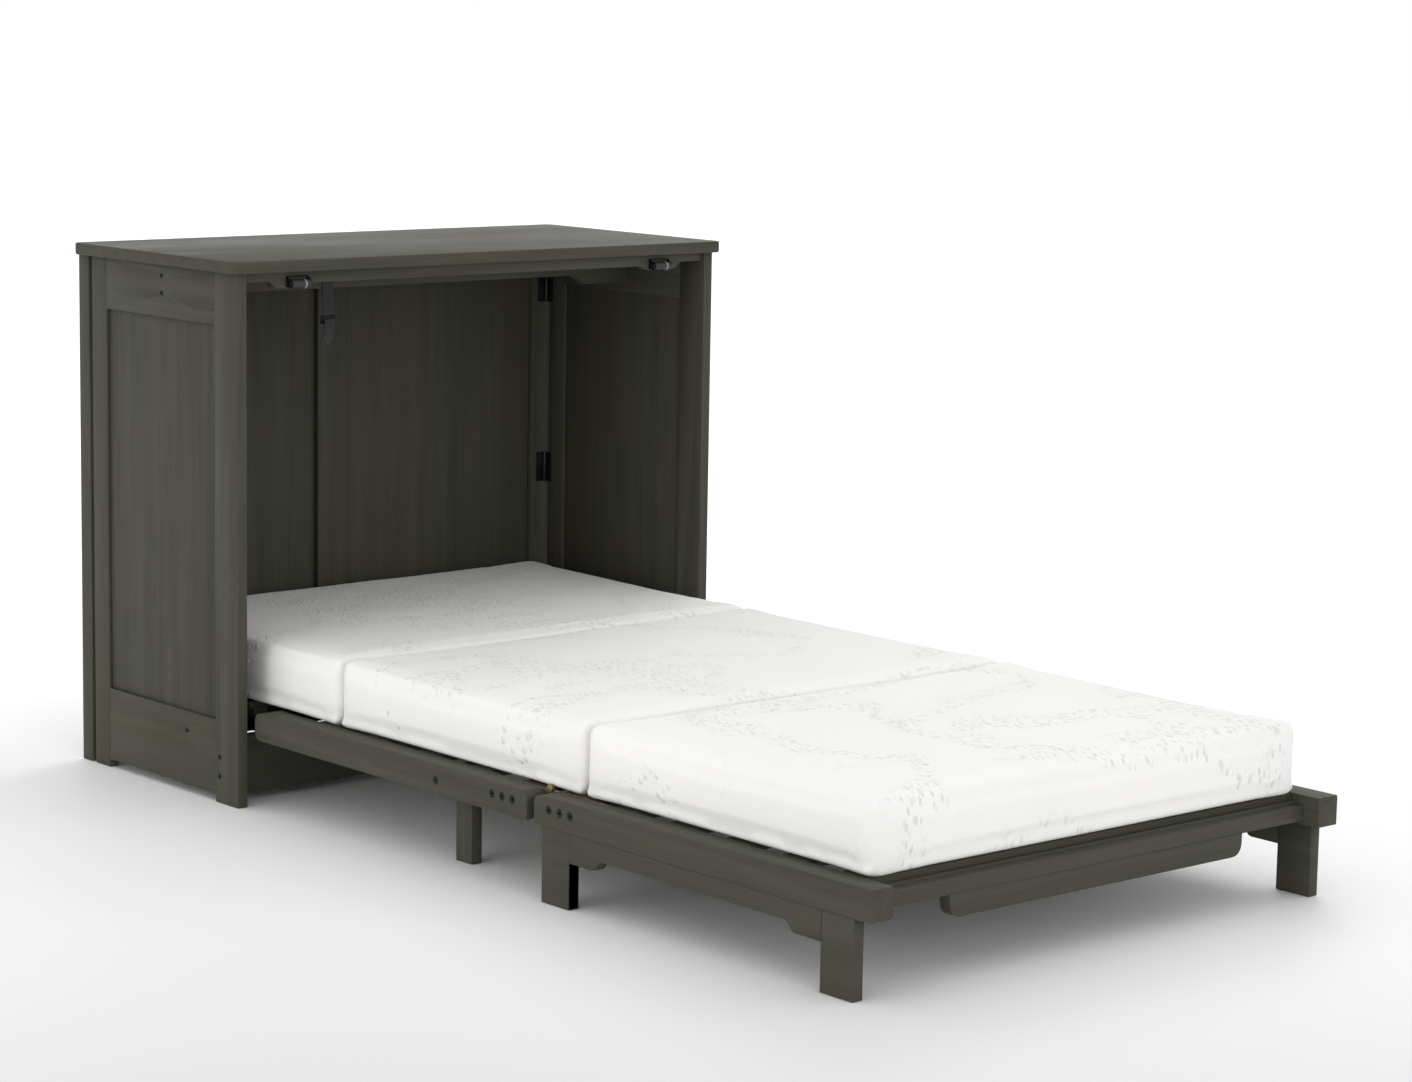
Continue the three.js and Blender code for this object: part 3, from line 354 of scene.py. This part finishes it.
def cut_at(bm, point, normal):
    """Cuts a solid in two along a plane, each half closed, so that the bevel leaves a joint line there."""
    halves = []
    for side in (1, -1):
        half = bm.copy()
        cut = bmesh.ops.bisect_plane(
            half,
            geom=half.verts[:] + half.edges[:] + half.faces[:],
            plane_co=point,
            plane_no=Vector(normal) * side,
            clear_outer=True,
            dist=1e-6,
        )
        edges = [e for e in cut["geom_cut"] if isinstance(e, bmesh.types.BMEdge)]
        bmesh.ops.contextual_create(half, geom=edges)
        halves.append(half)
    bm.clear()
    for half in halves:
        mesh = bpy.data.meshes.new("half")
        half.to_mesh(mesh)
        half.free()
        bm.from_mesh(mesh)
        bpy.data.meshes.remove(mesh)


def apply_modifiers(obj):
    bpy.context.view_layer.update()
    evaluated = obj.evaluated_get(bpy.context.evaluated_depsgraph_get())
    mesh = bpy.data.meshes.new_from_object(evaluated)
    old = obj.data
    obj.modifiers.clear()
    obj.data = mesh
    bpy.data.meshes.remove(old)


def bevelled(obj, width):
    """Rounds a piece's edges, with the modifier applied."""
    modifier = obj.modifiers.new("ease", "BEVEL")
    modifier.width = width
    modifier.segments = 2
    modifier.limit_method = "ANGLE"
    modifier.angle_limit = BEVEL_ANGLE
    apply_modifiers(obj)
    obj.data.shade_smooth()
    obj.data.set_sharp_from_angle(angle=EASED_SMOOTH_ANGLE)


def body_of(node):
    bodies = frame["record"]["behaviour"]["bodies"]
    return next(body for body, nodes in bodies.items() if node in nodes)


def eased(node, material, width, cuts=()):
    """The visible form of a hard CAD node: the same solid with eased edges and its joint lines."""
    bm = node_bmesh(node)
    for point, normal in cuts:
        cut_at(bm, point, normal)
    obj = new_piece(f"{node}_shaped", bm, body_of(node), material)
    bevelled(obj, width)
    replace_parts(obj, node)


def skin(bm, a, b):
    """Joins two equal rings of vertices with a band of faces."""
    count = len(a)
    for i in range(count):
        bm.faces.new((a[i], a[(i + 1) % count], b[(i + 1) % count], b[i]))


def ring_stack(bm, rings):
    """Skins a list of equal rings of points and closes the ends."""
    loops = [[bm.verts.new(point) for point in ring] for ring in rings]
    for a, b in zip(loops, loops[1:]):
        skin(bm, a, b)
    bm.faces.new(loops[0])
    bm.faces.new(loops[-1])


def turned(bm, centre, axis, profile, segments, hexagon_from=None):
    """Turns a profile of (distance along the axis, radius); rings from `hexagon_from` on are hexagons."""
    axis = Vector(axis).normalized()
    side = axis.orthogonal().normalized()
    other = axis.cross(side)
    rings = []
    for n, (along, radius) in enumerate(profile):
        ring = []
        for i in range(segments):
            angle = 2 * math.pi * i / segments
            reach = radius
            if hexagon_from is not None and n >= hexagon_from:
                reach = radius / math.cos(angle % (math.pi / 3) - math.pi / 6)
            way = side * math.cos(angle) + other * math.sin(angle)
            ring.append(Vector(centre) + axis * along + way * reach)
        rings.append(ring)
    ring_stack(bm, rings)


def face_x(node, sign):
    """The x of a node's left face, for sign -1, or of its right face, for sign 1."""
    low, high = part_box(node)
    return low.x if sign < 0 else high.x


# ---- boards ----
def grain_of(node):
    """The axis that a board is longest along."""
    low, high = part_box(node)
    size = high - low
    return "xyz"[max(range(3), key=lambda i: size[i])]


def joint_lines(node):
    """Where a node is glued up from several boards: planes as (point, normal)."""
    low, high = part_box(node)
    if node.endswith("leg_board"):
        return [
            (Vector((0, low.y + LEG_WIDTH, 0)), (0, 1, 0)),
            (Vector((0, high.y - LEG_WIDTH, 0)), (0, 1, 0)),
        ]
    if node == "foot_end_rail":
        return [(Vector((0, 0, low.z + GRIP_HEIGHT)), (0, 0, 1))]
    return []


def ease_of(node):
    if node == "top_slab":
        return SLAB_EASE
    if node.endswith(("foot_rail", "middle_rail")):
        return RAIL_EASE
    if "panel" in node:
        return PANEL_EASE
    return EASE


def boards():
    wood_nodes = [s["node"] for s in frame["record"]["subparts"] if s["material_slot"] == "stain"]
    for index, node in enumerate(sorted(wood_nodes)):
        eased(node, WOODS[grain_of(node), index % 2], ease_of(node), joint_lines(node))


# ---- metalwork ----
def metalwork():
    for s in frame["record"]["subparts"]:
        node, slot = s["node"], s["material_slot"]
        if slot == "brass":
            eased(node, BRASS, BRASS_EASE)
        if slot == "steel" and node != "strap_buckle":
            eased(node, STEEL, STEEL_EASE)


def screw_head(name, body, centre, axis, radius):
    """A domed screw or bolt head with a hexagon socket, its rim at `centre`."""
    bm = bmesh.new()
    rise = 0.28 * radius
    profile = (
        (-0.9 * radius, 0.96 * radius),
        (0.0, radius),
        (0.45 * rise, 0.98 * radius),
        (rise, 0.80 * radius),
        (1.08 * rise, 0.62 * radius),
        (1.02 * rise, 0.46 * radius),
        (-0.55 * radius, 0.44 * radius),
    )
    turned(bm, centre, axis, profile, 36, hexagon_from=5)
    new_piece(name, bm, body, STEEL)


def bolt_heads():
    for side, sign in (("left", -1), ("right", 1)):
        axis = (sign, 0, 0)
        x = face_x(f"{side}_front_stile", sign) - sign * SIDE_BOLT_SINK
        for i, (y, z) in enumerate(SIDE_BOLTS):
            screw_head(f"{side}_side_bolt_{i + 1}", "cabinet", (x, y, z), axis, SCREW_RADIUS)
        for section, body, direction in (("middle", "middle_frame", 1), ("foot", "foot_frame", -1)):
            x = face_x(f"{side}_{section}_rail", sign) - sign * RAIL_BOLT_SINK
            for i, step in enumerate(HINGE_BOLT_STEPS):
                centre = (x, FOLD_Y + direction * step, HINGE_BOLT_HEIGHT)
                screw_head(f"{side}_{section}_bolt_{i + 1}", body, centre, axis, SCREW_RADIUS)
        low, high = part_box(f"{side}_prop_bolt")
        x = face_x(f"{side}_prop_bolt", sign) - sign * PROP_BOLT_SINK
        centre = (x, (low.y + high.y) / 2, (low.z + high.z) / 2)
        screw_head(f"{side}_prop_bolt_head", "middle_frame", centre, axis, SCREW_RADIUS)


def hinge_screws():
    """Three screws in the leaf of each corner hinge that lies on the cabinet's side."""
    for side, sign in (("left", -1), ("right", 1)):
        for level in ("upper", "lower"):
            node = f"{side}_{level}_butt_hinge"
            low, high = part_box(node)
            x = face_x(node, sign) - sign * LEAF_FACE
            y = low.y + LEAF_SCREW_SETBACK
            for i in range(3):
                z = low.z + (high.z - low.z) * (0.2 + 0.3 * i)
                name = f"{side}_{level}_hinge_screw_{i + 1}"
                screw_head(name, "cabinet", (x, y, z), (-sign, 0, 0), HINGE_SCREW_RADIUS)


def tube(name, body, centre, start, end, reach, material):
    """A rubber ring about the x axis, chamfered at its rims, with the roller's bore through it."""
    bm = bmesh.new()
    profile = (
        (start, ROLLER_BORE),
        (start, reach - TYRE_SOFT),
        (start + TYRE_SOFT, reach),
        (end - TYRE_SOFT, reach),
        (end, reach - TYRE_SOFT),
        (end, ROLLER_BORE),
    )
    turns = [2 * math.pi * i / ROLLER_SIDES for i in range(ROLLER_SIDES)]
    loops = []
    for along, radius in profile:
        ring = [centre + Vector((along, radius * math.cos(t), radius * math.sin(t))) for t in turns]
        loops.append([bm.verts.new(point) for point in ring])
    for a, b in zip(loops, loops[1:] + loops[:1]):
        skin(bm, a, b)
    return new_piece(name, bm, body, material)


def rollers():
    for side in ("left", "right"):
        node = f"{side}_guide_roller"
        body = f"{side}_roller"
        low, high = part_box(node)
        centre = (low + high) / 2
        half = (high.x - low.x) / 2
        radius = (high.z - low.z) / 2
        start = STRIPE_START * half
        tyre = tube(f"{side}_roller_tyre", body, centre, -half, half, radius - STRIPE_PROUD, BLACK_RUBBER)
        tube(f"{side}_roller_stripe", body, centre, start, start + STRIPE_WIDTH, radius, PALE_RUBBER)
        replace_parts(tyre, node)


def bumpers():
    """The rubber stop on each prop leg: a stepped cap over the stub on the leg's rear face."""
    r = BUMPER_RADIUS
    profile = ((0.5 * MM, r), (2.0 * MM, r), (2.4 * MM, 0.9 * r), (5.2 * MM, 0.74 * r), (6.0 * MM, 0.6 * r))
    for side in ("left", "right"):
        low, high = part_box(f"{side}_prop_leg")
        centre = ((low.x + high.x) / 2, high.y - BUMPER_DEPTH, BUMPER_HEIGHT)
        bm = bmesh.new()
        turned(bm, centre, (0, 1, 0), profile, 28)
        new_piece(f"{side}_bumper", bm, f"{side}_prop", BLACK_RUBBER)


# ---- strap and cam buckle ----
BAR = 2.2 * MM  # radius of the buckle's wire frame
BUCKLE_WINDOW = 14 * MM  # the buckle's top to the middle of its lower bar
LEVER_STEPS = 8


def ribbon(bm, path, width, thick):
    """A flat band along a path, its width along x, with rounded edges."""
    across = Vector((1, 0, 0))
    outline = ((-1, -0.5), (-0.96, -1), (0.96, -1), (1, -0.5), (1, 0.5), (0.96, 1), (-0.96, 1), (-1, 0.5))
    rings = []
    for i, point in enumerate(path):
        ahead = path[min(i + 1, len(path) - 1)]
        behind = path[max(i - 1, 0)]
        normal = (ahead - behind).normalized().cross(across).normalized()
        rings.append([point + across * u * width / 2 + normal * v * thick / 2 for u, v in outline])
    ring_stack(bm, rings)


def smooth_path(points, steps=8):
    """A Catmull-Rom curve through given points."""
    points = [Vector(p) for p in points]
    ends = [2 * points[0] - points[1]] + points + [2 * points[-1] - points[-2]]
    path = []
    for a, b, c, d in zip(ends, ends[1:], ends[2:], ends[3:]):
        square = 2 * a - 5 * b + 4 * c - d
        cube = 3 * b - a - 3 * c + d
        for i in range(steps):
            t = i / steps
            path.append(0.5 * (2 * b + (c - a) * t + square * t**2 + cube * t**3))
    path.append(points[-1])
    return path


def strap():
    low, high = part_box("strap")
    buckle_low, buckle_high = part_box("strap_buckle")
    x, y = (low.x + high.x) / 2, (low.y + high.y) / 2
    width, thick = high.x - low.x, high.y - low.y
    bm = bmesh.new()
    hang = [
        (x, y, high.z),
        (x, y, (high.z + low.z) / 2),
        (x, y, low.z + 4 * MM),
        (x, y - 0.3 * MM, low.z - 4 * MM),
    ]
    ribbon(bm, smooth_path(hang), width, thick * 0.8)
    # The loose end turns back out of the buckle and hangs to the left of it.
    tail = [
        (x - 1 * MM, buckle_low.y - 1.5 * MM, buckle_high.z - 8 * MM),
        (x - 3 * MM, buckle_low.y - 5.0 * MM, buckle_high.z - 13 * MM),
        (x - 6 * MM, buckle_low.y - 5.5 * MM, buckle_low.z + 6 * MM),
        (x - 11 * MM, buckle_low.y - 3.0 * MM, buckle_low.z - 8 * MM),
        (x - 14 * MM, buckle_low.y - 3.4 * MM, buckle_low.z - 17 * MM),
    ]
    ribbon(bm, smooth_path(tail), width * 0.92, thick * 0.7)
    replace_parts(new_piece("hanging_strap", bm, "cabinet", WEBBING), "strap")


def cam_buckle():
    strap_low, strap_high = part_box("strap")
    low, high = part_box("strap_buckle")
    x, y = (strap_low.x + strap_high.x) / 2, (strap_low.y + strap_high.y) / 2
    half = (high.x - low.x) / 2 - BAR
    bm = bmesh.new()
    top, bottom = high.z - BAR, high.z - BUCKLE_WINDOW
    corners = [Vector((x + sx * half, y, z)) for sx, z in ((-1, top), (1, top), (1, bottom), (-1, bottom))]
    for a, b in zip(corners, corners[1:] + corners[:1]):
        length = (b - a).length
        way = (b - a).normalized()
        profile = ((0, 0.6 * BAR), (0.3 * BAR, BAR), (length + 1.7 * BAR, BAR), (length + 2 * BAR, 0.6 * BAR))
        turned(bm, a - way * BAR, way, profile, 12)
    # The cam lever: a pressed plate that tapers and bows, on its own pin.
    plate_top, plate_bottom = high.z - 6 * MM, low.z
    rings = []
    for i in range(LEVER_STEPS + 1):
        t = i / LEVER_STEPS
        z = plate_top + (plate_bottom - plate_top) * t
        w = (0.80 - 0.18 * t) * half
        front = low.y + 0.6 * MM + 1.4 * MM * math.sin(math.pi * t)
        back = front + 1.6 * MM
        rings.append([(x - w, back, z), (x - w, front, z), (x + w, front, z), (x + w, back, z)])
    ring_stack(bm, rings)
    pin = ((0, 1.6 * MM), (2 * half, 1.6 * MM))
    turned(bm, (x - half, y - 2.2 * MM, high.z - 8 * MM), (1, 0, 0), pin, 16)
    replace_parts(new_piece("cam_buckle", bm, "cabinet", STEEL), "strap_buckle")


# ---- mattress ----
REMESH = 8 * MM
EDGE_SOFT = 22 * MM  # radius of the roundest corners; the others are a share of it
SHRINK = 0.8 * MM  # the block starts this much smaller than the foam
PUFF_LIMIT = 4 * MM  # the most that a point may move in the simulation
PUFF_PRESSURE = 3.0
PUFF_FRAMES = 14
STAND_PROUD = 4.6 * MM  # how far the sides may pass the foam, short of the fold hinges' leaves
HEM = 2.2 * MM  # height of the lowest strip, which stays between the rails
HEM_PROUD = 1.5 * MM  # how far that strip may pass the foam
END_PROUD = 1.2 * MM  # the same for the head, foot and seam ends
TOP_PROUD = 2.5 * MM
UNDER_GAP = 0.3 * MM  # the cover's underside stays this far above the foam's
WAVE = 2.6 * MM  # long waves in the top
CREASE = 0.9 * MM  # short creases in the top
SETTLE = 1.6 * MM  # how far the top sinks as a whole
SIDE_BAND = 40 * MM  # the cover this near a side is pushed out
SIDE_SWELL = 4.5 * MM
RIPPLE = 1.4 * MM
SKIRT_HEIGHT = 14 * MM  # the side's foot is drawn out flat up to here
SKIRT_DEPTH = 9 * MM
TUCK_REACH = 22 * MM  # the cover this near a seam is tucked in
TUCK = 1.0 * MM
TUCK_GATHER = 1.0 * MM


def edge_softness(a, b, low, high, seams):
    """How round an edge of a section is: upright corners most, seam and lower edges least."""
    middle = (a + b) / 2
    at_seam = any(abs(middle.y - seam) < 5 * MM for seam in seams)
    if abs(a.z - b.z) > 10 * MM:
        return 0.45 if at_seam else 1.0
    if middle.z < (low.z + high.z) / 2:
        return 0.3
    return 0.35 if at_seam else 0.6


def soft_block(name, low, high, seams):
    """A block with soft edges, remeshed to even quads."""
    bm = bmesh.new()
    bmesh.ops.create_cube(bm, size=1.0)
    centre, size = (low + high) / 2, high - low
    for v in bm.verts:
        v.co = Vector(v.co[i] * size[i] + centre[i] for i in range(3))
    weights = bm.edges.layers.float.new("bevel_weight_edge")
    for edge in bm.edges:
        edge[weights] = edge_softness(edge.verts[0].co, edge.verts[1].co, low, high, seams)
    mesh = bpy.data.meshes.new(name)
    bm.to_mesh(mesh)
    bm.free()
    obj = bpy.data.objects.new(name, mesh)
    bpy.context.scene.collection.objects.link(obj)
    soft = obj.modifiers.new("soft", "BEVEL")
    soft.limit_method = "WEIGHT"
    soft.width = EDGE_SOFT
    soft.segments = 5
    remesh = obj.modifiers.new("even", "REMESH")
    remesh.mode = "VOXEL"
    remesh.voxel_size = REMESH
    apply_modifiers(obj)
    return obj


def puff(obj):
    """The foam presses the cover outwards: a short cloth simulation under pressure, its travel capped."""
    rest = [v.co.copy() for v in obj.data.vertices]
    cloth = obj.modifiers.new("cover", "CLOTH")
    settings = cloth.settings
    settings.quality = 4
    settings.use_pressure = True
    settings.uniform_pressure_force = PUFF_PRESSURE
    settings.tension_stiffness = 25
    settings.compression_stiffness = 25
    settings.bending_stiffness = 4
    settings.effector_weights.gravity = 0
    cloth.collision_settings.use_collision = False
    scene = bpy.context.scene
    for number in range(1, PUFF_FRAMES + 1):
        scene.frame_set(number)
    apply_modifiers(obj)
    scene.frame_set(1)
    for v, start in zip(obj.data.vertices, rest):
        moved = v.co - start
        if moved.length > PUFF_LIMIT:
            v.co = start + moved * (PUFF_LIMIT / moved.length)


def dress(obj, low, high, number, seams):
    """Gives the cover its slight waves, full sides, tucks beside each seam and a flat underside."""
    height = high.z - low.z
    for v in obj.data.vertices:
        p = v.co
        wave = noise.noise(Vector((p.x * 2.6, p.y * 2.6, 4.0 * number))) * WAVE
        crease = noise.noise(Vector((p.x * 11.0, p.y * 11.0, p.z * 9.0 + number))) * CREASE
        upper = max(0.0, min(1.0, (p.z - low.z) / height))
        p.z += (wave + crease - SETTLE) * upper
        sign = -1 if p.x < 0 else 1
        side = low.x if p.x < 0 else high.x
        ripple = noise.noise(Vector((p.y * 7.0, p.z * 16.0, 9.0 + number))) * RIPPLE
        if abs(p.x - side) < SIDE_BAND:
            if HEM < p.z - low.z < SKIRT_HEIGHT and abs(p.x - side) < SKIRT_DEPTH:
                p.x = side
            p.x += sign * (SIDE_SWELL + ripple)
        proud = STAND_PROUD if p.z - low.z > HEM else HEM_PROUD
        for seam in seams:
            reach = abs(p.y - seam)
            if reach < TUCK_REACH:
                pinch = (1 - reach / TUCK_REACH) ** 2
                gather = noise.noise(Vector((p.x * 9.0, seam, 2.0))) * TUCK_GATHER
                p.z -= pinch * upper * (TUCK + gather)
        p.x = max(low.x - proud, min(high.x + proud, p.x))
        p.y = max(low.y - END_PROUD, min(high.y + END_PROUD, p.y))
        p.z = max(low.z + UNDER_GAP, min(high.z + TOP_PROUD, p.z))


def mattress():
    boxes = {part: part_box(f"mattress_{part}") for part in ("head", "middle", "foot")}
    bodies = {"head": "cabinet", "middle": "middle_frame", "foot": "foot_frame"}
    seams = {
        "head": [boxes["head"][0].y],
        "middle": [boxes["middle"][0].y, boxes["middle"][1].y],
        "foot": [boxes["foot"][1].y],
    }
    inset = Vector((SHRINK,) * 3)
    for number, (part, (low, high)) in enumerate(boxes.items()):
        obj = soft_block(f"mattress_{part}_cover", low + inset, high - inset, seams[part])
        puff(obj)
        dress(obj, low, high, number, seams[part])
        finer = obj.modifiers.new("finer", "SUBSURF")
        finer.levels = 1
        finer.render_levels = 1
        apply_modifiers(obj)
        obj.data.shade_smooth()
        obj.data.materials.clear()
        obj.data.materials.append(COVERS[number])
        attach(obj, bodies[part])
        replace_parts(obj, f"mattress_{part}")
        if part == "head":
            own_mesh(obj)
        else:
            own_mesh(obj)


# ---- studio ----
def camera():
    azimuth, dip = math.radians(CAMERA_AZIMUTH), math.radians(CAMERA_DIP)
    forward = Vector((math.sin(azimuth) * math.cos(dip), math.cos(azimuth) * math.cos(dip), -math.sin(dip)))
    right = Vector((math.cos(azimuth), -math.sin(azimuth), 0))
    up = right.cross(forward)
    basis = Matrix((right, up, -forward)).transposed().to_4x4()
    roll = Matrix.Rotation(math.radians(CAMERA_ROLL), 4, "Z")
    data = bpy.data.cameras.new("camera")
    data.lens = CAMERA_LENS
    data.sensor_width = SENSOR_WIDTH
    obj = bpy.data.objects.new("camera", data)
    obj.matrix_world = Matrix.Translation(CAMERA_PLACE) @ basis @ roll
    bpy.context.scene.collection.objects.link(obj)
    bpy.context.scene.camera = obj


def area_light(name, place, target, size, power):
    data = bpy.data.lights.new(name, "AREA")
    data.shape = "RECTANGLE"
    data.size, data.size_y = size
    data.energy = power
    obj = bpy.data.objects.new(name, data)
    obj.location = place
    obj.rotation_euler = (Vector(target) - Vector(place)).to_track_quat("-Z", "Y").to_euler()
    bpy.context.scene.collection.objects.link(obj)


def studio():
    bm = bmesh.new()
    bmesh.ops.create_grid(bm, x_segments=2, y_segments=2, size=FLOOR_REACH)
    mesh = bpy.data.meshes.new("floor")
    bm.to_mesh(mesh)
    bm.free()
    floor = bpy.data.objects.new("floor", mesh)
    floor.location.z = -FLOOR_DROP
    mesh.materials.append(floor_with_painted_light())
    bpy.context.scene.collection.objects.link(floor)

    world = bpy.data.worlds.new("studio")
    world.use_nodes = True
    background = world.node_tree.nodes["Background"]
    background.inputs["Color"].default_value = (1.0, 1.0, 1.0, 1.0)
    background.inputs["Strength"].default_value = 1.0
    bpy.context.scene.world = world
    bpy.context.scene.view_settings.view_transform = "Standard"
    bpy.context.scene.view_settings.look = "None"

    area_light("key", (3.2, 2.2, 3.4), (0, -0.2, 0.1), (1.6, 1.6), 28)
    area_light("left", (-3.4, 0.1, 0.7), (-0.4, 0.3, 0.2), (1.8, 0.9), 13)
    area_light("front", (-1.2, -4.2, 1.1), (0, -0.1, 0.3), (2.2, 1.4), 21)


camera()
boards()
metalwork()
bolt_heads()
hinge_screws()
rollers()
bumpers()
strap()
cam_buckle()
mattress()
studio()
